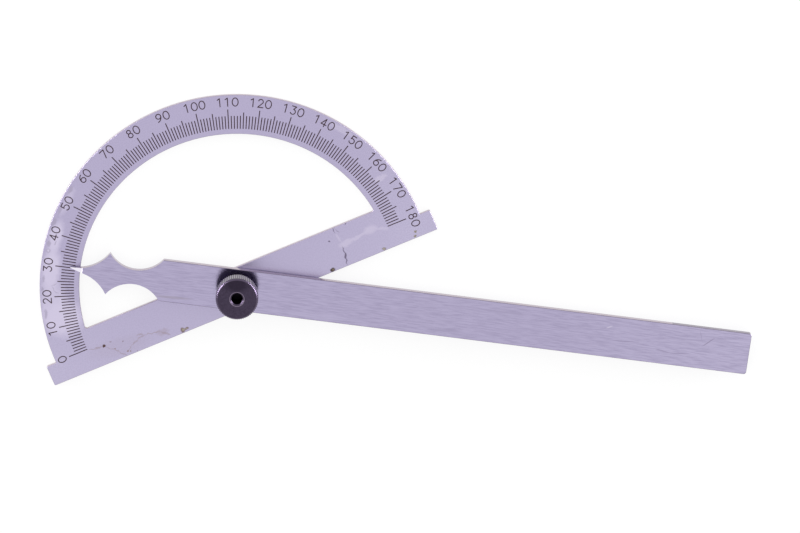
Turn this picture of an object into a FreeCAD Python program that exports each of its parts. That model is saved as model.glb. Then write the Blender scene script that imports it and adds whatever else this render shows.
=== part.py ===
import FreeCAD, Part
import math
import os

from FreeCAD import Vector

# A bevel protractor lying on its back. The head is a graduated half ring with
# a straight base. The blade turns on the head's pivot screw, and its pointed
# end reads the scale. A tall knurled nut clamps it.
# Lengths are in millimetres and angles in degrees. The origin is where the
# pivot axis meets the resting plane. +X runs along the base, +Y points from
# the base into the arc, and +Z points out of the graduated face.

# Head
head_thick = 2.0
arc_outer_r = 75.0
arc_band = 15.0
base_below_pivot = 8.4
base_above_pivot = 7.5
base_half_length = 79.0
ear_below_pivot = 0.4
ear_corner_r = 0.5
window_corner_r = 0.8

# Graduation, engraved in the head's front face
scale_end = 180
mid_every = 5
long_every = 10
scale_margin = 1.95
short_line = 5.0
mid_line = 6.35
long_line = 7.55
line_width = 0.38
engraving_depth = 0.08
numeral_gap = 1.05
numeral_height = 3.5
numeral_pitch = 2.95

# Blade
blade_width = 16.0
blade_thick = 3.0
blade_reach = 196.6
blade_end_corner_r = 1.0
blade_reading = 30.25

# Pointer, the blade's shaped end
scallop_r = 12.5
scallop_from_pivot = 39.2
waist_width = 5.4
flank_r = 15.4
neck_width = 1.2
facet_from_pivot = 59.1
pointer_reach = 63.8
tip_width = 0.25
tip_edge_thick = 0.3

# Edges that are broken by hand on the sheet and the bar
edge_break = 0.15

# Pivot screw, staked in the head with its own head flush with the back
screw_head_d = 10.0
screw_head_thick = 1.0
shoulder_d = 7.0
shoulder_below_blade_top = 0.2
thread_d = 5.0
thread_core_d = 4.2
screw_end_chamfer = 0.5
screw_end_below_nut_face = 8.0

# Washers
drag_washer_d = 14.0
drag_washer_thick = 0.5
flat_washer_d = 10.0
flat_washer_thick = 1.0
spring_washer_d = 9.6
spring_washer_thick = 0.5

# Knurled nut
nut_height = 12.8
nut_head_height = 7.0
nut_head_d = 16.2
nut_neck_d = 10.0
knurl_teeth = 64
knurl_depth = 0.3
nut_face_chamfer = 0.75
nut_rear_chamfer = 0.4
countersink_d = 5.4
nut_bore_past_screw = 0.5

# Clearances, on the radius
staked_clearance = 0.02
running_clearance = 0.03
thread_clearance = 0.03
washer_clearance = 0.15

# Levels along the pivot axis
blade_bottom = head_thick + drag_washer_thick
blade_top = blade_bottom + blade_thick
spring_washer_bottom = blade_top + flat_washer_thick
nut_bottom = spring_washer_bottom + spring_washer_thick
nut_head_bottom = nut_bottom + nut_height - nut_head_height
nut_top = nut_bottom + nut_height
screw_top = nut_top - screw_end_below_nut_face

# Radii about the pivot axis
window_r = arc_outer_r - arc_band
scale_r = window_r + scale_margin
numeral_foot_r = scale_r + long_line + numeral_gap + line_width / 2
numeral_rise = numeral_height - line_width
shoulder_bore_r = shoulder_d / 2 + running_clearance


def cylinder(radius, bottom, top):
    """An upright cylinder on the pivot axis."""
    return Part.makeCylinder(radius, top - bottom, Vector(0, 0, bottom))


def ring(outer_r, inner_r, bottom, top):
    """A flat ring on the pivot axis."""
    return cylinder(outer_r, bottom, top).cut(cylinder(inner_r, bottom, top))


def turned(profile):
    """A solid turned about the pivot axis from its (radius, level) outline."""
    corners = [Vector(radius, 0, level) for radius, level in profile]
    outline = Part.makePolygon(corners + corners[:1])
    return Part.Face(outline).revolve(Vector(0, 0, 0), Vector(0, 0, 1), 360)


def line(start, end):
    return Part.LineSegment(Vector(*start), Vector(*end)).toShape()


def arc(start, middle, end):
    return Part.Arc(Vector(*start), Vector(*middle), Vector(*end)).toShape()


def plate(edges, bottom, thick):
    """A flat solid with the closed outline that the edges make at z = 0."""
    outline = Part.Wire(Part.__sortEdges__(edges))
    face = Part.Face(outline)
    face.translate(Vector(0, 0, bottom))
    return face.extrude(Vector(0, 0, thick))


def upright_edges(solid, corners):
    """The solid's edges along Z that stand at the corners, given as (x, y)."""
    found = []
    for edge in solid.Edges:
        ends = [vertex.Point for vertex in edge.Vertexes]
        if len(ends) == 2 and math.hypot(ends[0].x - ends[1].x, ends[0].y - ends[1].y) < 1e-6:
            if min(math.hypot(ends[0].x - x, ends[0].y - y) for x, y in corners) < 1e-3:
                found.append(edge)
    return found


def rim_edges(solid, chosen):
    """The edges around the solid's top and bottom faces that the test accepts."""
    levels = (solid.BoundBox.ZMin, solid.BoundBox.ZMax)
    found = []
    for edge in solid.Edges:
        box = edge.BoundBox
        is_flat = box.ZLength < 1e-6 and min(abs(box.ZMin - z) for z in levels) < 1e-6
        if is_flat and chosen(edge.CenterOfMass):
            found.append(edge)
    return found


# ---- Head -----------------------------------------------------------------

def head_outline():
    """The base with its two ears, and the arc standing on it."""
    arc_foot_x = math.sqrt(arc_outer_r ** 2 - ear_below_pivot ** 2)
    left, right = -base_half_length, base_half_length
    low, ear = -base_below_pivot, -ear_below_pivot
    return [
        line((left, low, 0), (right, low, 0)),
        line((right, low, 0), (right, ear, 0)),
        line((right, ear, 0), (arc_foot_x, ear, 0)),
        arc((arc_foot_x, ear, 0), (0, arc_outer_r, 0), (-arc_foot_x, ear, 0)),
        line((-arc_foot_x, ear, 0), (left, ear, 0)),
        line((left, ear, 0), (left, low, 0)),
    ]


def head_blank():
    """The sheet with its window cut, its corners rounded and its edges broken."""
    sill_x = math.sqrt(window_r ** 2 - base_above_pivot ** 2)
    sill_left, sill_right = (-sill_x, base_above_pivot, 0), (sill_x, base_above_pivot, 0)
    window = [line(sill_left, sill_right), arc(sill_right, (0, window_r, 0), sill_left)]
    sheet = plate(head_outline(), 0, head_thick).cut(plate(window, 0, head_thick))
    ear_corners = [(side * base_half_length, -below)
                   for side in (-1, 1) for below in (base_below_pivot, ear_below_pivot)]
    sheet = sheet.makeFillet(ear_corner_r, upright_edges(sheet, ear_corners))
    window_corners = [sill_left[:2], sill_right[:2]]
    sheet = sheet.makeFillet(window_corner_r, upright_edges(sheet, window_corners))
    return sheet.makeChamfer(edge_break, rim_edges(sheet, lambda centre: True))


def groove(edges):
    """A cutter for an engraved mark, whose outline is drawn on the front face."""
    return plate(edges, head_thick - engraving_depth, 2 * engraving_depth)


def turned_to(reading, shape):
    """A mark drawn upright on the 90 degree line, turned to its reading."""
    shape.rotate(Vector(0, 0, 0), Vector(0, 0, 1), 90 - reading)
    return shape


def graduation(reading):
    """One scale line: each tenth is the longest, each fifth is longer."""
    length = short_line
    if reading % long_every == 0:
        length = long_line
    elif reading % mid_every == 0:
        length = mid_line
    side = line_width / 2
    corners = [(-side, scale_r, 0), (side, scale_r, 0),
               (side, scale_r + length, 0), (-side, scale_r + length, 0)]
    edges = [line(corners[i - 1], corners[i]) for i in range(len(corners))]
    return turned_to(reading, groove(edges))


# Numerals are single strokes of the line width. A stroke is drawn in shares of
# the height between centre lines, from the middle of the numeral's foot: a line
# by its two ends, an arc by its centre, radius, start and end angle, and an
# oval by its centre, half width and half height.
NUMERAL_STROKES = {
    "0": [("oval", 0, 0.5, 0.355, 0.5)],
    "1": [("line", -0.25, 0.83, 0.02, 1), ("line", 0.02, 1, 0.02, 0)],
    "2": [("arc", 0, 0.72, 0.28, -35, 165), ("line", 0.23, 0.56, -0.31, 0),
          ("line", -0.31, 0, 0.32, 0)],
    "3": [("line", -0.27, 1, 0.27, 1), ("line", 0.27, 1, 0.0, 0.62),
          ("arc", -0.02, 0.31, 0.31, -150, 86)],
    "4": [("line", 0.11, 1, 0.11, 0), ("line", 0.11, 1, -0.34, 0.27),
          ("line", -0.34, 0.27, 0.34, 0.27)],
    "5": [("line", 0.27, 1, -0.2, 1), ("line", -0.2, 1, -0.23, 0.55),
          ("arc", 0, 0.32, 0.32, -150, 135)],
    "6": [("oval", 0, 0.3, 0.3, 0.3), ("arc", 0.36, 0.3, 0.66, 100, 180)],
    "7": [("line", -0.31, 1, 0.31, 1), ("line", 0.31, 1, -0.08, 0)],
    "8": [("oval", 0, 0.775, 0.225, 0.225), ("oval", 0, 0.275, 0.275, 0.275)],
    "9": [("oval", 0, 0.7, 0.3, 0.3), ("arc", -0.36, 0.7, 0.66, -80, 0)],
}


def on_numeral(x, y):
    """A place given in shares of a numeral's height, in millimetres."""
    return (x * numeral_rise, numeral_foot_r + y * numeral_rise, 0)


def polar(centre, radius, angle):
    turn = math.radians(angle)
    return (centre[0] + radius * math.cos(turn), centre[1] + radius * math.sin(turn), 0)


def line_stroke(x0, y0, x1, y1):
    """A straight stroke with round ends."""
    heading = math.degrees(math.atan2(y1 - y0, x1 - x0))
    side = line_width / 2
    start = [polar(on_numeral(x0, y0), side, heading + turn) for turn in (90, 180, 270)]
    end = [polar(on_numeral(x1, y1), side, heading + turn) for turn in (-90, 0, 90)]
    return groove([arc(*start), line(start[2], end[0]), arc(*end), line(end[2], start[0])])


def arc_stroke(x, y, radius_share, start, end):
    """A curved stroke with round ends."""
    centre = on_numeral(x, y)
    radius = radius_share * numeral_rise
    side = line_width / 2
    turns = (start, (start + end) / 2, end)
    outer = [polar(centre, radius + side, turn) for turn in turns]
    inner = [polar(centre, radius - side, turn) for turn in turns]
    start_cap = polar(polar(centre, radius, start), side, start - 90)
    end_cap = polar(polar(centre, radius, end), side, end + 90)
    return groove([arc(*outer), arc(outer[2], end_cap, inner[2]),
                   arc(*inner), arc(inner[0], start_cap, outer[0])])


def oval_stroke(x, y, half_width, half_height):
    """A closed oval stroke, taller than it is wide or round."""
    centre = Vector(*on_numeral(x, y))
    discs = []
    for side in (line_width / 2, -line_width / 2):
        tall = half_height * numeral_rise + side
        wide = half_width * numeral_rise + side
        if half_height == half_width:
            curve = Part.Circle(centre, Vector(0, 0, 1), tall)
        else:
            curve = Part.Ellipse(centre + Vector(0, tall, 0), centre - Vector(wide, 0, 0), centre)
        discs.append(groove([curve.toShape()]))
    return discs[0].cut(discs[1])


STROKE_CUTTERS = {"line": line_stroke, "arc": arc_stroke, "oval": oval_stroke}


def label(reading):
    """The number beside a long line, each digit upright on its own radius."""
    digits = str(reading)
    middle_r = numeral_foot_r + numeral_rise / 2
    pitch_angle = math.degrees(numeral_pitch / middle_r)
    first = reading - (len(digits) - 1) / 2 * pitch_angle
    cutters = []
    for place, digit in enumerate(digits):
        for kind, *shape in NUMERAL_STROKES[digit]:
            stroke = STROKE_CUTTERS[kind](*shape)
            cutters.append(turned_to(first + place * pitch_angle, stroke))
    return cutters


def protractor_plate():
    """The graduated head, drilled and counterbored at the back for the screw."""
    sheet = head_blank()
    sheet = sheet.cut(cylinder(screw_head_d / 2 + staked_clearance, 0, screw_head_thick))
    sheet = sheet.cut(cylinder(shoulder_d / 2 + staked_clearance, 0, head_thick))
    marks = [graduation(reading) for reading in range(scale_end + 1)]
    for reading in range(0, scale_end + 1, long_every):
        marks += label(reading)
    return sheet.cut(marks)


# ---- Blade ----------------------------------------------------------------

def pointer_points():
    """Corner points of the pointer's +Y side, along -X from the pivot axis."""
    edge_y = blade_width / 2
    scallop_y = waist_width / 2 + scallop_r
    half_chord = math.sqrt(scallop_r ** 2 - (scallop_y - edge_y) ** 2)
    shoulder_x = -scallop_from_pivot + half_chord
    spike_x = -scallop_from_pivot - half_chord
    flank_y = neck_width / 2 + flank_r
    flank_x = spike_x - math.sqrt(flank_r ** 2 - (flank_y - edge_y) ** 2)

    def on_flank(x):
        return (x, flank_y - math.sqrt(flank_r ** 2 - (x - flank_x) ** 2), 0)

    return {
        "shoulder": (shoulder_x, edge_y, 0),
        "waist": (-scallop_from_pivot, waist_width / 2, 0),
        "spike": (spike_x, edge_y, 0),
        "flank": on_flank((spike_x - facet_from_pivot) / 2),
        "facet": on_flank(-facet_from_pivot),
        "tip": (-pointer_reach, tip_width / 2, 0),
    }


def blade_side(side):
    """The blade's edges on one side of its middle line, side being 1 or -1."""
    at = {name: (x, side * y, z) for name, (x, y, z) in pointer_points().items()}
    end_corner = (blade_reach, side * blade_width / 2, 0)
    return [
        line((blade_reach, 0, 0), end_corner),
        line(end_corner, at["shoulder"]),
        arc(at["shoulder"], at["waist"], at["spike"]),
        arc(at["spike"], at["flank"], at["facet"]),
        line(at["facet"], at["tip"]),
        line(at["tip"], (-pointer_reach, 0, 0)),
    ]


def facet_cutter():
    """The wedge ground off the pointer's top, down to a thin edge at the tip."""
    drop = blade_thick - tip_edge_thick
    run = pointer_reach - facet_from_pivot
    overrun = 1.0
    end_x = -pointer_reach - overrun
    end_z = blade_top - drop * (run + overrun) / run
    corners = [Vector(-facet_from_pivot, -blade_width, blade_top),
               Vector(end_x, -blade_width, end_z),
               Vector(end_x, -blade_width, blade_top)]
    wedge = Part.Face(Part.makePolygon(corners + corners[:1]))
    return wedge.extrude(Vector(0, 2 * blade_width, 0))


def blade():
    """The bar with its pointer, turned to the reading it rests at."""
    bar = plate(blade_side(1) + blade_side(-1), blade_bottom, blade_thick).removeSplitter()
    end_corners = [(blade_reach, side * blade_width / 2) for side in (-1, 1)]
    bar = bar.makeFillet(blade_end_corner_r, upright_edges(bar, end_corners))
    shoulder_x = pointer_points()["shoulder"][0]
    bar = bar.makeChamfer(edge_break, rim_edges(bar, lambda centre: centre.x > shoulder_x))
    bar = bar.cut(facet_cutter())
    bar = bar.cut(cylinder(shoulder_bore_r, blade_bottom, blade_top))
    bar.rotate(Vector(0, 0, 0), Vector(0, 0, 1), -blade_reading)
    return bar


# ---- Clamp ----------------------------------------------------------------

def pivot_screw():
    """Flush head, shoulder that the blade turns on, and thread for the nut."""
    shoulder_top = blade_top - shoulder_below_blade_top
    return turned([
        (0, 0),
        (screw_head_d / 2, 0),
        (screw_head_d / 2, screw_head_thick),
        (shoulder_d / 2, screw_head_thick),
        (shoulder_d / 2, shoulder_top),
        (thread_d / 2, shoulder_top),
        (thread_d / 2, screw_top - screw_end_chamfer),
        (thread_d / 2 - screw_end_chamfer, screw_top),
        (0, screw_top),
    ])


def drag_washer():
    return ring(drag_washer_d / 2, shoulder_bore_r, head_thick, blade_bottom)


def flat_washer():
    bore_r = thread_d / 2 + washer_clearance
    return ring(flat_washer_d / 2, bore_r, blade_top, spring_washer_bottom)


def spring_washer():
    """Wavy when free, and pressed flat while the nut is tight."""
    bore_r = thread_d / 2 + washer_clearance
    return ring(spring_washer_d / 2, bore_r, spring_washer_bottom, nut_bottom)


def knurled_rim():
    """A straight-knurled bar as tall as the nut's head."""
    crest_r = nut_head_d / 2
    corners = []
    for step in range(2 * knurl_teeth):
        radius = crest_r if step % 2 == 0 else crest_r - knurl_depth
        turn = math.pi * step / knurl_teeth
        corners.append(Vector(radius * math.cos(turn), radius * math.sin(turn), nut_head_bottom))
    outline = Part.makePolygon(corners + corners[:1])
    return Part.Face(outline).extrude(Vector(0, 0, nut_head_height))


def knurled_nut():
    """Knurled head on a plain neck, with a countersunk thread right through."""
    head_r = nut_head_d / 2
    envelope = turned([
        (0, nut_head_bottom),
        (head_r - nut_rear_chamfer, nut_head_bottom),
        (head_r, nut_head_bottom + nut_rear_chamfer),
        (head_r, nut_top - nut_face_chamfer),
        (head_r - nut_face_chamfer, nut_top),
        (0, nut_top),
    ])
    body = knurled_rim().common(envelope)
    body = body.fuse(cylinder(nut_neck_d / 2, nut_bottom, nut_head_bottom))
    core_r = thread_core_d / 2
    on_screw_r = thread_d / 2 + thread_clearance
    bore_step = screw_top + nut_bore_past_screw
    hole = turned([
        (0, nut_bottom),
        (on_screw_r, nut_bottom),
        (on_screw_r, bore_step),
        (core_r, bore_step),
        (core_r, nut_top - (countersink_d / 2 - core_r)),
        (countersink_d / 2, nut_top),
        (0, nut_top),
    ])
    return body.cut(hole)


def main():
    os.makedirs("parts", exist_ok=True)
    nodes = {
        "protractor_plate": protractor_plate(),
        "pivot_screw": pivot_screw(),
        "drag_washer": drag_washer(),
        "blade": blade(),
        "flat_washer": flat_washer(),
        "spring_washer": spring_washer(),
        "knurled_nut": knurled_nut(),
    }
    for node, shape in nodes.items():
        solid = shape.Solids[0] if len(shape.Solids) == 1 else shape
        solid.exportStep("parts/" + node + ".step")
        print(node, len(shape.Solids), "solid(s), valid:", solid.isValid(),
              "volume:", round(solid.Volume, 2), "mm3")


main()
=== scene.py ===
import math

import bmesh
import bpy
from mathutils import Matrix, Vector


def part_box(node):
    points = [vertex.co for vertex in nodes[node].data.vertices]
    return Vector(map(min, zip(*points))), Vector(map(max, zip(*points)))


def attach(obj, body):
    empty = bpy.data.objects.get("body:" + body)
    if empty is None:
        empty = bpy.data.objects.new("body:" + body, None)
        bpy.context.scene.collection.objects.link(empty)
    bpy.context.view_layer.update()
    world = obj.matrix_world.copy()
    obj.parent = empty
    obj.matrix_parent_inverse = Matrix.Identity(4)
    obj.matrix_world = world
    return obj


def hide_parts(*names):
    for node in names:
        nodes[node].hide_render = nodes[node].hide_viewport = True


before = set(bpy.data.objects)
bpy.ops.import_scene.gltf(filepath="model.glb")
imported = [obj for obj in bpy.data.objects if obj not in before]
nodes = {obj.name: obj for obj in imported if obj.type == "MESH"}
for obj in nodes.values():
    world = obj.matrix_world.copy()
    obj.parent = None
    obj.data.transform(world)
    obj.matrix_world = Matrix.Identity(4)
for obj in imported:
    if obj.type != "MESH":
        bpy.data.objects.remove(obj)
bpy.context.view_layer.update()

# A bevel protractor on a white table. Lengths are in metres unless a name ends
# in _mm. The head, blade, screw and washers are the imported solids; the knurled
# nut is modelled here.

MM = 0.001
FULL_TURN = 2 * math.pi
BLADE_READING = 30.25

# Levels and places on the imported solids, in mm
HEAD_TOP_MM = 2.0
BLADE_TOP_MM = 5.5
FACET_START_MM, FACET_END_MM = 59.1, 64
FACET_SLOPE = 2.7 / 4.7
NUT_HEAD_MM = 7.0


# ---- Colours and nodes ------------------------------------------------------

def srgb(code):
    """A hex sRGB colour as the linear RGBA that Blender's sockets hold."""
    shares = [int(code[i:i + 2], 16) / 255 for i in (0, 2, 4)]
    linear = [c / 12.92 if c <= 0.04045 else ((c + 0.055) / 1.055) ** 2.4 for c in shares]
    return (*linear, 1.0)


def add(tree, kind, settings=None, links=None):
    """Adds a shader node, sets its properties and sockets, and links its inputs.

    A link comes from a socket, or from a node by its first output.
    """
    made = tree.nodes.new("ShaderNode" + kind)
    for name, value in (settings or {}).items():
        if isinstance(name, int) or name in made.inputs:
            made.inputs[name].default_value = value
        else:
            setattr(made, name, value)
    for name, source in (links or {}).items():
        socket = source.outputs[0] if hasattr(source, "outputs") else source
        tree.links.new(socket, made.inputs[name])
    return made


def new_metal(name, settings):
    """An empty metal with its shader and output, and the frame's place and its parts."""
    material = bpy.data.materials.new(name)
    material.use_nodes = True
    tree = material.node_tree
    tree.nodes.clear()
    shader = add(tree, "BsdfPrincipled", {"Metallic": 1.0, **settings})
    add(tree, "OutputMaterial", links={"Surface": shader})
    place = add(tree, "TexCoord").outputs["Object"]
    axes = add(tree, "SeparateXYZ", links={0: place})
    flat = add(tree, "VectorMath", {"operation": "MULTIPLY", 1: (1, 1, 0)}, {0: place})
    radius = add(tree, "VectorMath", {"operation": "LENGTH"}, {0: flat}).outputs["Value"]
    return material, tree, shader, place, axes, radius


def within(tree, value, low_mm, high_mm):
    """1 where a length lies between two others, and 0 elsewhere."""
    above = add(tree, "Math", {"operation": "GREATER_THAN", 1: low_mm * MM}, {0: value})
    below = add(tree, "Math", {"operation": "LESS_THAN", 1: high_mm * MM}, {0: value})
    return add(tree, "Math", {"operation": "MULTIPLY"}, {0: above, 1: below}).outputs[0]


def overlap(tree, *masks):
    """1 where every mask is 1."""
    covered = masks[0]
    for mask in masks[1:]:
        covered = add(tree, "Math", {"operation": "MULTIPLY"}, {0: covered, 1: mask}).outputs[0]
    return covered


def paint_over(tree, colour, layers):
    """Lays colours over a finish, each a mask and a hex code."""
    for mask, code in layers:
        colour = add(tree, "Mix", {"data_type": "RGBA", 7: srgb(code)},
                     {0: mask, 6: colour}).outputs[2]
    return colour


def ragged(tree, place, grain_mm, reach_mm):
    """The same place, pushed about by noise, so that what is laid there has uneven edges."""
    push = add(tree, "TexNoise", {"Scale": 1 / (grain_mm * MM), "Detail": 3.0}, {"Vector": place})
    push = add(tree, "VectorMath", {"operation": "SUBTRACT", 1: (0.5, 0.5, 0.5)},
               {0: push.outputs["Color"]})
    reach = 4 * reach_mm * MM
    return add(tree, "VectorMath", {"operation": "MULTIPLY_ADD", 1: (reach, reach, 0)},
               {0: push, 2: place}).outputs[0]


def lay_marks(tree, colour, place, level_mm, marks):
    """Lays marks on the face at that level: marks of use, and on the nut's face a patch of painted shade.

    A mark is an oval with a soft edge: its middle, length and width in mm, its turn
    in degrees, its colour and how much of it shows.
    """
    for x, y, length, width, turn, code, share in marks:
        oval = add(tree, "Mapping", {
            "vector_type": "TEXTURE",
            "Location": (x * MM, y * MM, level_mm * MM),
            "Rotation": (0, 0, math.radians(turn)),
            "Scale": (length / 2 * MM, width / 2 * MM, 0.5 * MM)}, {"Vector": place})
        reach = add(tree, "VectorMath", {"operation": "LENGTH"}, {0: oval}).outputs["Value"]
        cover = add(tree, "MapRange", {1: 1.25, 2: 0.65, 3: 0.0, 4: share}, {0: reach})
        colour = paint_over(tree, colour, [(cover.outputs[0], code)])
    return colour


def dress(node_name, material):
    """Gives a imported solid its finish."""
    slots = nodes[node_name].data.materials
    slots.clear()
    slots.append(material)


# ---- Head: satin stainless sheet ---------------------------------------------

BROWN, FAINT_BROWN, FILM = "4E3424", "A0919C", "D0C8E0"
DULL, DARK, PALE = "A9A1B8", "6E657C", "C8C0D8"

# Oil stains and rust specks on the base, a dried film on the arc from 5 to 55, and
# scratches and a rubbed streak on the base's other end
HEAD_MARKS = [
    (-59.2, -0.9, 5.6, 0.4, -10, FAINT_BROWN, 0.6), (-53.6, -3.1, 3.6, 0.4, -32, FAINT_BROWN, 0.6),
    (-51.7, -4.9, 2.6, 0.4, -61, FAINT_BROWN, 0.6), (-50.1, -6.9, 3.2, 0.5, -44, FAINT_BROWN, 0.7),
    (-46.6, -5.8, 2.2, 0.4, 41, FAINT_BROWN, 0.6), (-44.4, -4.5, 3.5, 0.4, 25, FAINT_BROWN, 0.6),
    (-41.2, -3.5, 3.9, 0.4, 11, FAINT_BROWN, 0.6), (-36.5, -3.9, 6.2, 0.5, -14, FAINT_BROWN, 0.6),
    (-32.0, -5.7, 4.1, 0.6, -35, FAINT_BROWN, 0.6), (-32.9, -4.9, 4.8, 2.4, -4, FAINT_BROWN, 0.35),
    (-41.2, -2.6, 2.3, 0.7, -11, FAINT_BROWN, 0.6), (-50.0, -4.0, 24.0, 7.0, -6, FAINT_BROWN, 0.12),
    (-55.5, -1.3, 1.5, 1.1, -6, BROWN, 0.95), (-52.6, -0.9, 1.0, 0.5, -14, "7E6A70", 0.8),
    (-48.4, -2.5, 0.7, 0.6, -13, "7E6A70", 0.8), (-52.2, -3.7, 0.7, 0.5, -9, "8A7060", 0.8),
    (-48.1, -6.8, 0.6, 0.6, 8, "8A7060", 0.8), (-47.0, -7.1, 0.6, 0.6, 3, "8A7060", 0.8),
    (-44.7, -7.7, 0.5, 0.5, -4, "7E6A70", 0.8),
    (-25.3, -7.2, 2.0, 1.9, 4, "6A5440", 0.8), (-25.1, -7.1, 1.2, 1.0, 4, "A8A090", 0.9),
    (-23.6, -7.2, 1.6, 1.2, 12, "6A5440", 0.8), (-23.7, -7.3, 0.8, 0.5, 12, "A8A090", 0.8),
    (39.1, 3.2, 0.8, 0.6, 85, DARK, 0.9), (36.2, -7.5, 1.9, 1.7, -4, "453A34", 0.95),
    (36.4, -7.5, 0.8, 0.6, -4, "90806A", 0.8), (57.5, -7.7, 1.6, 1.4, 3, "83786C", 0.85),
    (57.4, -7.7, 0.8, 0.7, 3, "B4AC9E", 0.9), (70.9, -5.9, 0.8, 0.8, 2, "8E8470", 0.9),
    (70.0, -7.7, 0.8, 0.8, 4, "8E8470", 0.9),
    (43.0, -1.9, 3.3, 0.5, 85, DARK, 0.75), (42.8, -4.2, 3.2, 0.8, 81, DARK, 0.9),
    (42.4, -6.5, 3.1, 0.4, 79, DARK, 0.75), (42.3, 6.4, 3.0, 0.35, -84, DARK, 0.7),
    (47.5, 7.2, 0.6, 0.5, 4, DARK, 0.8), (43.6, 5.9, 3.1, 0.3, -53, DARK, 0.35),
    (44.9, 0.0, 5.7, 2.7, 3, PALE, 0.75), (50.2, 0.6, 7.4, 1.4, 7, PALE, 0.75),
    (55.4, 1.3, 5.3, 3.3, -1, PALE, 0.8), (59.6, 0.0, 5.3, 1.4, -22, PALE, 0.6),
    (42.9, 3.2, 3.8, 0.9, -76, PALE, 0.6), (66.5, 18.4, 5.5, 2.4, 4, PALE, 0.75),
    (60.5, 41.5, 9.0, 2.6, -55, PALE, 0.6),
    (-65.4, 14.8, 14.0, 14.5, 57, FILM, 0.95), (-66.9, 20.5, 20.0, 10.0, 70, FILM, 0.7),
    (-62.3, 34.0, 17.0, 6.6, 60, FILM, 0.95), (-55.6, 45.0, 13.0, 5.0, 51, FILM, 0.9),
    (-46.2, 55.8, 11.5, 2.8, 40, FILM, 0.45),
    (-43.1, 59.8, 3.0, 1.2, 39, DULL, 0.7), (-50.0, 54.0, 3.4, 0.9, 43, DULL, 0.6),
    (-53.9, 50.6, 3.6, 1.2, 45, DULL, 0.8), (-58.9, 43.9, 2.6, 1.2, 50, DULL, 0.8),
    (-60.3, 41.2, 1.9, 1.4, 32, DULL, 0.7), (-60.3, 41.2, 1.0, 0.7, 32, FILM, 0.9),
    (-56.5, 42.9, 1.9, 0.5, 43, DULL, 0.8), (-66.4, 31.9, 2.6, 0.9, 60, DULL, 0.6),
    (-68.2, 28.4, 1.9, 0.8, 60, DULL, 0.7), (-71.0, 18.7, 3.6, 1.2, 70, DULL, 0.7),
    (-63.6, 28.2, 2.1, 0.4, 1, DULL, 0.6), (-64.6, 26.7, 2.2, 0.4, 86, DULL, 0.6),
    (-64.0, 25.1, 1.8, 0.4, -44, DULL, 0.6),
]


def satin_stainless():
    """Stainless sheet ground to a satin face: an even lilac-grey with a faint fine grain.

    Its cut sides are paler, its broken edges are rubbed dull and painted darker as a painted dark
    reflection, and its engraving is filled with a brown-black ink. It is a little brighter towards the
    base's ends and darker towards the top of the arc.
    The grit's own lines are 0.05 mm apart; they are drawn 0.5 mm apart so as to show.
    """
    material, tree, shader, place, axes, radius = new_metal("satin_stainless", {})
    level = axes.outputs["Z"]
    engraving = overlap(tree, within(tree, level, 1.9, 1.99), within(tree, radius, 61, 74.6),
                        within(tree, axes.outputs["Y"], -7.5, 80))
    # The edge breaks are rubbed dull, and painted darker than the face as a painted dark reflection
    broken_edge = within(tree, level, 1.86, 1.985)
    side = within(tree, level, 0.15, 1.86)
    grain = add(tree, "TexNoise", {"Scale": 1 / (0.5 * MM), "Detail": 3.0}, {"Vector": place})
    cloud = add(tree, "TexNoise", {"Scale": 1 / (14 * MM), "Detail": 3.0}, {"Vector": place})
    # Brighter towards the base's ends and darker towards the top of the arc, by distance from a point
    # above the arc
    away_from_arc_top = add(tree, "VectorMath", {"operation": "DISTANCE", 1: (0, 95 * MM, 0)}, {0: place})
    away_from_arc_top = add(tree, "MapRange", {1: 84 * MM, 2: 122 * MM}, {0: away_from_arc_top.outputs["Value"]})
    face = add(tree, "Mix", {"data_type": "RGBA", 6: srgb("B5ADCA"), 7: srgb("BFB8D3")},
               {0: away_from_arc_top}).outputs[2]
    unevenness = add(tree, "MapRange", {1: 0.35, 2: 0.65, 4: 0.35}, {0: cloud}).outputs[0]
    grit = add(tree, "MapRange", {1: 0.4, 2: 0.62, 4: 0.4}, {0: grain}).outputs[0]
    colour = paint_over(tree, face, [(unevenness, "B9B1CE"), (grit, "ABA3C0")])
    colour = lay_marks(tree, colour, ragged(tree, place, 1.6, 0.45), HEAD_TOP_MM, HEAD_MARKS)
    colour = paint_over(tree, colour, [(side, "C3B7C0"), (broken_edge, "9F96AA"),
                                       (engraving, "54434A")])
    tree.links.new(colour, shader.inputs["Base Color"])
    rough = add(tree, "MapRange", {1: 0.2, 2: 0.8, 3: 0.34, 4: 0.42}, {0: grain})
    rough = add(tree, "Math", {"operation": "MULTIPLY_ADD", 1: 0.3}, {0: broken_edge, 2: rough})
    tree.links.new(rough.outputs[0], shader.inputs["Roughness"])
    bump = add(tree, "Bump", {"Strength": 0.15, "Distance": 0.01 * MM}, {"Height": grain})
    tree.links.new(bump.outputs[0], shader.inputs["Normal"])
    return material


# ---- Blade: brushed stainless bar ---------------------------------------------

# Scratches at the bar's far end, and paler and duller streaks along it
BLADE_MARKS = [
    (180.6, 2.7, 5.6, 0.35, 42, "857B96", 0.7), (163.9, -2.9, 6.4, 0.35, -9, "857B96", 0.45),
    (169.7, -3.1, 6.1, 0.35, 4, "857B96", 0.45), (149.1, -1.0, 9.6, 0.35, 3, "857B96", 0.5),
    (142.3, 3.8, 2.6, 0.5, 26, "CDC6DB", 0.7), (177.5, 4.8, 3.8, 0.35, -72, "857B96", 0.3),
    (32.0, -6.0, 26.0, 2.6, 1, "B9B1CE", 0.4), (80.0, -5.6, 14.0, 1.2, 1, "9F97B4", 0.5),
    (100.0, 4.4, 22.0, 0.7, 0, "9F97B4", 0.5), (-24.0, -6.0, 14.0, 1.0, 2, "9A929F", 0.5),
]


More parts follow.
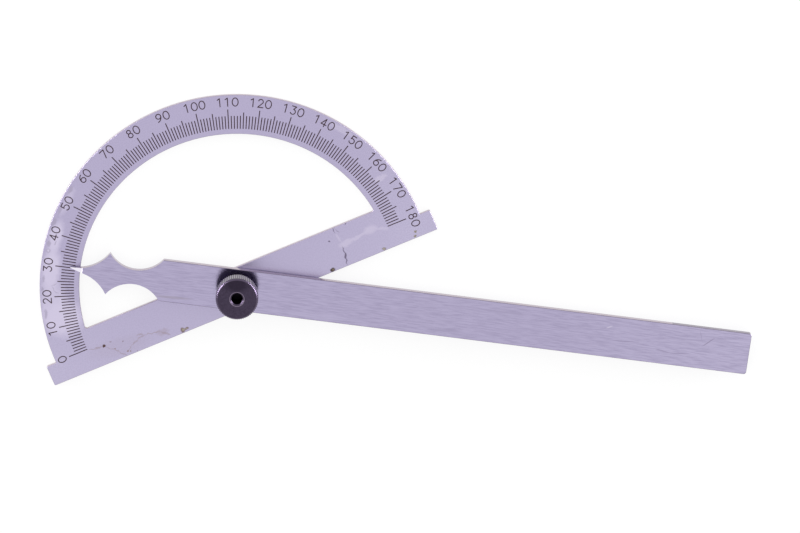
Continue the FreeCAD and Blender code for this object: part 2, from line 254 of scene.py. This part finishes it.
def brushed_stainless():
    """Stainless bar brushed along its length: fine long scratches that streak what it mirrors.

    Its pointer's ground facet is painted near white, a painted highlight; its sides are greyer, their far
    end painted darker as a painted dark reflection, and its broken edges are rubbed dull and painted dark
    as a painted dark reflection.
    The brush lines are 0.1 mm apart; they are drawn 0.4 mm apart so as to show.
    """
    material, tree, shader, place, axes, _ = new_metal("brushed_stainless", {"Anisotropic": 0.3})
    level = axes.outputs["Z"]
    turn = math.radians(BLADE_READING)
    bar = add(tree, "Mapping", {"vector_type": "TEXTURE", "Rotation": (0, 0, -turn)},
              {"Vector": place}).outputs[0]
    along = add(tree, "SeparateXYZ", links={0: bar})
    drawn = add(tree, "VectorMath", {"operation": "MULTIPLY", 1: (0.07, 1, 1)}, {0: bar})
    brushing = add(tree, "TexNoise", {"Scale": 1 / (0.4 * MM), "Detail": 4.0, "Roughness": 0.65},
                   {"Vector": drawn})
    swept = add(tree, "VectorMath", {"operation": "MULTIPLY", 1: (0.02, 1, 1)}, {0: bar})
    bands = add(tree, "TexNoise", {"Scale": 1 / (1.5 * MM), "Detail": 2.0}, {"Vector": swept})
    end = add(tree, "MapRange", {1: 125 * MM, 2: 180 * MM, 4: 0.8}, {0: along.outputs["X"]})
    face = add(tree, "Mix", {"data_type": "RGBA", 6: srgb("B2AAC8"), 7: srgb("BCB4D1")},
               {0: end}).outputs[2]
    line = add(tree, "MapRange", {1: 0.42, 2: 0.66, 4: 0.75}, {0: brushing}).outputs[0]
    band = add(tree, "MapRange", {1: 0.4, 2: 0.65, 4: 0.5}, {0: bands}).outputs[0]
    colour = paint_over(tree, face, [(band, "B5ADCB"), (line, "9D95B3")])
    colour = lay_marks(tree, colour, bar, BLADE_TOP_MM, BLADE_MARKS)
    side = within(tree, level, 2.65, 5.36)
    # The sides' far end is painted darker: a painted dark reflection
    far_side_dark_reflection = overlap(tree, side, within(tree, along.outputs["X"], 166, 200))
    # The edge breaks are rubbed dull, and painted dark as a painted dark reflection
    broken_edge = within(tree, level, 5.36, 5.49)
    # The pointer's ground facet is painted near white: a painted highlight
    facet_level = BLADE_TOP_MM + FACET_START_MM * FACET_SLOPE
    over_slope = add(tree, "Math", {"operation": "MULTIPLY_ADD", 1: -FACET_SLOPE},
                     {0: along.outputs["X"], 2: level})
    facet_highlight = overlap(tree, within(tree, over_slope.outputs[0], facet_level - 0.06, facet_level + 0.06),
                    within(tree, along.outputs["X"], -FACET_END_MM, -FACET_START_MM))
    colour = paint_over(tree, colour, [(side, "B4A6B2"), (far_side_dark_reflection, "857B8C"),
                                       (broken_edge, "6E6478"), (facet_highlight, "F0EBF7")])
    tree.links.new(colour, shader.inputs["Base Color"])
    rough = add(tree, "MapRange", {1: 0.2, 2: 0.8, 3: 0.13, 4: 0.18}, {0: brushing})
    rough = add(tree, "Math", {"operation": "MULTIPLY_ADD", 1: 0.4}, {0: broken_edge, 2: rough})
    tree.links.new(rough.outputs[0], shader.inputs["Roughness"])
    across = add(tree, "VectorTransform", {"vector_type": "VECTOR", "convert_from": "OBJECT",
                                           "convert_to": "WORLD",
                                           0: (math.sin(turn), math.cos(turn), 0)})
    tree.links.new(across.outputs[0], shader.inputs["Tangent"])
    bump = add(tree, "Bump", {"Strength": 0.2, "Distance": 0.01 * MM}, {"Height": brushing})
    tree.links.new(bump.outputs[0], shader.inputs["Normal"])
    return material


# ---- Clamp: black oxide nut, screw and washers ---------------------------------

def black_oxide():
    """Turned steel with a black oxide coat: a dark violet-grey sheen, worn bright on the
    knurl's crests and on the edges, and black in the knurl's valleys. The thread is painted near black as
    painted shade deep in the bore, and the face is painted darker towards the top as painted shade.
    """
    material, tree, shader, place, axes, radius = new_metal("black_oxide_steel", {})
    level = axes.outputs["Z"]
    low, high = (corner.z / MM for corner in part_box("knurled_nut"))
    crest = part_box("knurled_nut")[1].y / MM
    grain = add(tree, "TexNoise", {"Scale": 1 / (0.5 * MM), "Detail": 3.0}, {"Vector": place})
    face = add(tree, "Mix", {"data_type": "RGBA", 6: srgb("3C3444"), 7: srgb("4A4154")},
               {0: add(tree, "MapRange", {1: 0.3, 2: 0.7}, {0: grain})}).outputs[2]
    # A dark oval on the face's upper side is painted shade: the face is painted darker towards the top
    face = lay_marks(tree, face, place, high, [(2.1, 5.4, 9.0, 6.0, -23, "2B2432", 0.75)])
    rim = within(tree, level, high - NUT_HEAD_MM + 0.3, high - 0.75)
    knurl = overlap(tree, rim, within(tree, radius, crest - 0.4, crest + 0.1))
    worn = add(tree, "MapRange", {1: (crest - 0.17) * MM, 2: (crest - 0.03) * MM}, {0: radius})
    worn_crest = overlap(tree, knurl, worn.outputs[0])
    face_chamfer = overlap(tree, within(tree, level, high - 0.72, high - 0.03),
                           within(tree, radius, crest - 0.9, crest + 0.1))
    # The thread is painted near black: painted shade deep in the bore
    thread = within(tree, radius, 0, 2.6)
    thread = overlap(tree, thread, within(tree, level, low + 0.1, high - 0.62))
    sink = overlap(tree, within(tree, radius, 2.0, 2.65), within(tree, level, high - 0.62, high - 0.03))
    sink_edge = overlap(tree, within(tree, radius, 2.62, 2.84), within(tree, level, high - 0.06, high + 1))
    colour = paint_over(tree, face, [
        (knurl, "17131B"), (worn_crest, "C9C0CC"), (face_chamfer, "5A5064"),
        (thread, "110E13"), (sink, "4A4153"), (sink_edge, "84788A")])
    tree.links.new(colour, shader.inputs["Base Color"])
    rough = add(tree, "MapRange", {1: 0.2, 2: 0.8, 3: 0.28, 4: 0.36}, {0: grain})
    rough = add(tree, "Math", {"operation": "MULTIPLY_ADD", 1: -0.12}, {0: face_chamfer, 2: rough})
    tree.links.new(rough.outputs[0], shader.inputs["Roughness"])
    return material


def screw_steel():
    """Steel screw: its staked head is ground bright with the back; the rest is black oxide, painted darker
    still as painted shade deep in the nut's bore.
    """
    material, tree, shader, place, axes, _ = new_metal("screw_steel", {"Roughness": 0.3})
    grain = add(tree, "TexNoise", {"Scale": 1 / (0.5 * MM), "Detail": 3.0}, {"Vector": place})
    ground = add(tree, "Mix", {"data_type": "RGBA", 6: srgb("9A96A0"), 7: srgb("B4B0B8")},
                 {0: grain}).outputs[2]
    # Everything above the head is painted near black: black oxide, darkened further as painted shade in
    # the bore
    colour = paint_over(tree, ground, [(within(tree, axes.outputs["Z"], 0.9, 30), "18151B")])
    tree.links.new(colour, shader.inputs["Base Color"])
    return material


def rolled_metal(name, dark, light, roughness):
    """Rolled strip, with the faint mottle that rolling leaves."""
    material, tree, shader, place, _, _ = new_metal(name, {"Roughness": roughness})
    mottle = add(tree, "TexNoise", {"Scale": 1 / (0.6 * MM), "Detail": 3.0}, {"Vector": place})
    colour = add(tree, "Mix", {"data_type": "RGBA", 6: srgb(dark), 7: srgb(light)}, {0: mottle})
    tree.links.new(colour.outputs[2], shader.inputs["Base Color"])
    return material


NUT_TEETH = 64
# How deep the knurl is at the points across one tooth, in shares of its depth
TOOTH_SHAPE = (0.0, 0.25, 0.75, 1.0, 0.75, 0.25)
KNURL_DEPTH_MM = 0.3


def select_in_edit(mesh_object, chosen):
    """Selects the vertices of the object in edit mode that the test accepts."""
    bpy.ops.mesh.select_all(action="DESELECT")
    shape = bmesh.from_edit_mesh(mesh_object.data)
    for vertex in shape.verts:
        vertex.select = chosen(vertex)
    shape.select_flush(True)
    bmesh.update_edit_mesh(mesh_object.data)


def nut_outline():
    """The nut's outline as (level, radius) in mm, from the neck's foot round to its bore."""
    low, high = (corner.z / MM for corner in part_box("knurled_nut"))
    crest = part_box("knurled_nut")[1].y / MM
    shoulder = high - NUT_HEAD_MM
    bore_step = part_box("pivot_screw")[1].z / MM + 0.5
    return [
        (low, 4.75), (low + 0.25, 5.0), (shoulder - 0.35, 5.0), (shoulder - 0.1, 5.1),
        (shoulder, 5.35), (shoulder, crest - 0.46), (shoulder + 0.03, crest - 0.4),
        (shoulder + 0.1, crest - 0.3), (shoulder + 0.38, crest - 0.02), (shoulder + 0.46, crest),
        (high - 0.79, crest), (high - 0.72, crest - 0.02), (high - 0.44, crest - 0.3),
        (high - 0.05, crest - 0.69), (high, crest - 0.8), (high, crest - 1.1),
        (high, 3.0), (high, 2.74), (high - 0.04, 2.66), (high - 0.6, 2.1), (high - 0.7, 2.1),
        (high - 0.93, 2.5), (bore_step, 2.5), (bore_step, 2.53), (low, 2.53), (low, 4.75),
    ]


def make_nut():
    """Straight-knurled head on a plain neck, turned ring by ring from the neck's foot."""
    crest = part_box("knurled_nut")[1].y / MM
    points = NUT_TEETH * len(TOOTH_SHAPE)
    outline = nut_outline()
    bpy.ops.object.select_all(action="DESELECT")
    level, radius = outline[0]
    bpy.ops.mesh.primitive_circle_add(vertices=points, radius=radius * MM,
                                      location=(0, 0, level * MM))
    nut = bpy.context.object
    nut.name = "clamp_nut"
    bpy.ops.object.transform_apply(location=True, rotation=True, scale=True)
    bpy.ops.object.mode_set(mode="EDIT")
    bpy.ops.mesh.select_all(action="SELECT")

    def radii(at_radius):
        """The ring's radius at each point across a tooth, which the knurl may lower."""
        return [min(at_radius, crest - KNURL_DEPTH_MM * share) for share in TOOTH_SHAPE]

    before = radii(radius)
    for next_level, next_radius in outline[1:]:
        bpy.ops.mesh.extrude_region_move(
            TRANSFORM_OT_translate={"value": (0, 0, (next_level - level) * MM)})
        after = radii(next_radius)
        shape = bmesh.from_edit_mesh(nut.data)
        ring = {vertex.index for vertex in shape.verts if vertex.select}
        if len(set(zip(before, after))) == 1:
            change = after[0] / before[0]
            bpy.ops.transform.resize(value=(change, change, 1), center_override=(0, 0, 0))
        else:
            for place, (old, new) in enumerate(zip(before, after)):
                def on_tooth(vertex):
                    turn = math.atan2(vertex.co.y, vertex.co.x) / FULL_TURN
                    return (vertex.index in ring
                            and round(turn * points) % len(TOOTH_SHAPE) == place)
                select_in_edit(nut, on_tooth)
                bpy.ops.transform.resize(value=(new / old, new / old, 1),
                                         center_override=(0, 0, 0))
            select_in_edit(nut, lambda vertex: vertex.index in ring)
        level, before = next_level, after
    bpy.ops.mesh.select_all(action="SELECT")
    bpy.ops.mesh.remove_doubles(threshold=0.005 * MM)
    bpy.ops.mesh.normals_make_consistent(inside=False)
    bpy.ops.object.mode_set(mode="OBJECT")
    bpy.ops.object.shade_smooth_by_angle(angle=math.radians(32))
    return nut


dress("protractor_plate", satin_stainless())
dress("blade", brushed_stainless())
dress("pivot_screw", screw_steel())
dress("drag_washer", rolled_metal("rolled_brass", "A88A50", "BD9F62", 0.35))
dress("flat_washer", rolled_metal("bright_steel_strip", "9A96A0", "B4B0B8", 0.25))
dress("spring_washer", rolled_metal("tempered_spring_strip", "4A464E", "5E5A62", 0.3))

clamp_nut = make_nut()
clamp_nut.data.materials.append(black_oxide())
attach(clamp_nut, "nut")
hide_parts("knurled_nut")


# ---- Table, light and camera ---------------------------------------------------

def make_table():
    """White paper that looks white to the camera and to the metal, and takes soft shadows."""
    bpy.ops.object.select_all(action="DESELECT")
    bpy.ops.mesh.primitive_plane_add(size=6.0, location=(0, 0, -0.05 * MM))
    table = bpy.context.object
    table.name = "table"
    bpy.ops.object.transform_apply(location=True, rotation=True, scale=True)
    material = bpy.data.materials.new("white_paper")
    material.use_nodes = True
    tree = material.node_tree
    tree.nodes.clear()
    path = add(tree, "LightPath")
    seen = add(tree, "Math", {"operation": "MAXIMUM"},
               {0: path.outputs["Is Camera Ray"], 1: path.outputs["Is Glossy Ray"]})
    seen = add(tree, "Math", {"operation": "MAXIMUM"},
               {0: seen, 1: path.outputs["Is Transmission Ray"]})
    share = add(tree, "Math", {"operation": "MULTIPLY", 1: 0.8}, {0: seen})
    paper = add(tree, "BsdfDiffuse", {"Color": srgb("FAFAFA")})
    glow = add(tree, "Emission", {"Color": (1, 1, 1, 1), "Strength": 1.0})
    both = add(tree, "MixShader", links={0: share, 1: paper, 2: glow})
    add(tree, "OutputMaterial", links={"Surface": both})
    table.data.materials.append(material)


def make_tent():
    """A white light tent all round."""
    world = bpy.data.worlds.new("white_tent")
    bpy.context.scene.world = world
    world.use_nodes = True
    world.node_tree.nodes.clear()
    sky = add(world.node_tree, "Background", {"Color": (1, 1, 1, 1), "Strength": 1.0})
    add(world.node_tree, "OutputWorld", links={"Surface": sky})


def softbox(name, place, size, watts):
    """A lamp panel that faces the pivot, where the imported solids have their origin."""
    lamp = bpy.data.lights.new(name, "AREA")
    lamp.shape = "RECTANGLE"
    lamp.size, lamp.size_y = size
    lamp.energy = watts
    holder = bpy.data.objects.new(name, lamp)
    bpy.context.scene.collection.objects.link(holder)
    holder.location = place
    holder.rotation_euler = (-Vector(place)).to_track_quat("-Z", "Y").to_euler()


def make_camera():
    """A long lens from 2.3 m, 14 degrees off the head's normal, with the base turned 23 degrees."""
    tilt, lean, turn = math.radians(14.002), math.radians(1.240), math.radians(22.563)
    distance, shift_x, shift_y = 2.2801, -0.061874, -0.008129
    focal = 270.0
    turned = (Matrix.Rotation(tilt, 3, "X") @ Matrix.Rotation(lean, 3, "Y")
              @ Matrix.Rotation(turn, 3, "Z"))
    camera = bpy.data.cameras.new("camera")
    camera.lens = focal
    camera.sensor_width = 36.0
    camera.clip_end = 20.0
    holder = bpy.data.objects.new("camera", camera)
    bpy.context.scene.collection.objects.link(holder)
    at = turned.transposed() @ Vector((-shift_x, -shift_y, distance))
    at.z += HEAD_TOP_MM * MM
    holder.matrix_world = Matrix.Translation(at) @ turned.transposed().to_4x4()
    bpy.context.scene.camera = holder


make_table()
make_tent()
softbox("left_softbox", (-1.27, 1.28, 0.25), (1.3, 0.35), 30.0)
softbox("right_softbox", (1.8, -0.06, 0.25), (1.3, 0.35), 30.0)
make_camera()
bpy.context.scene.view_settings.view_transform = "Standard"
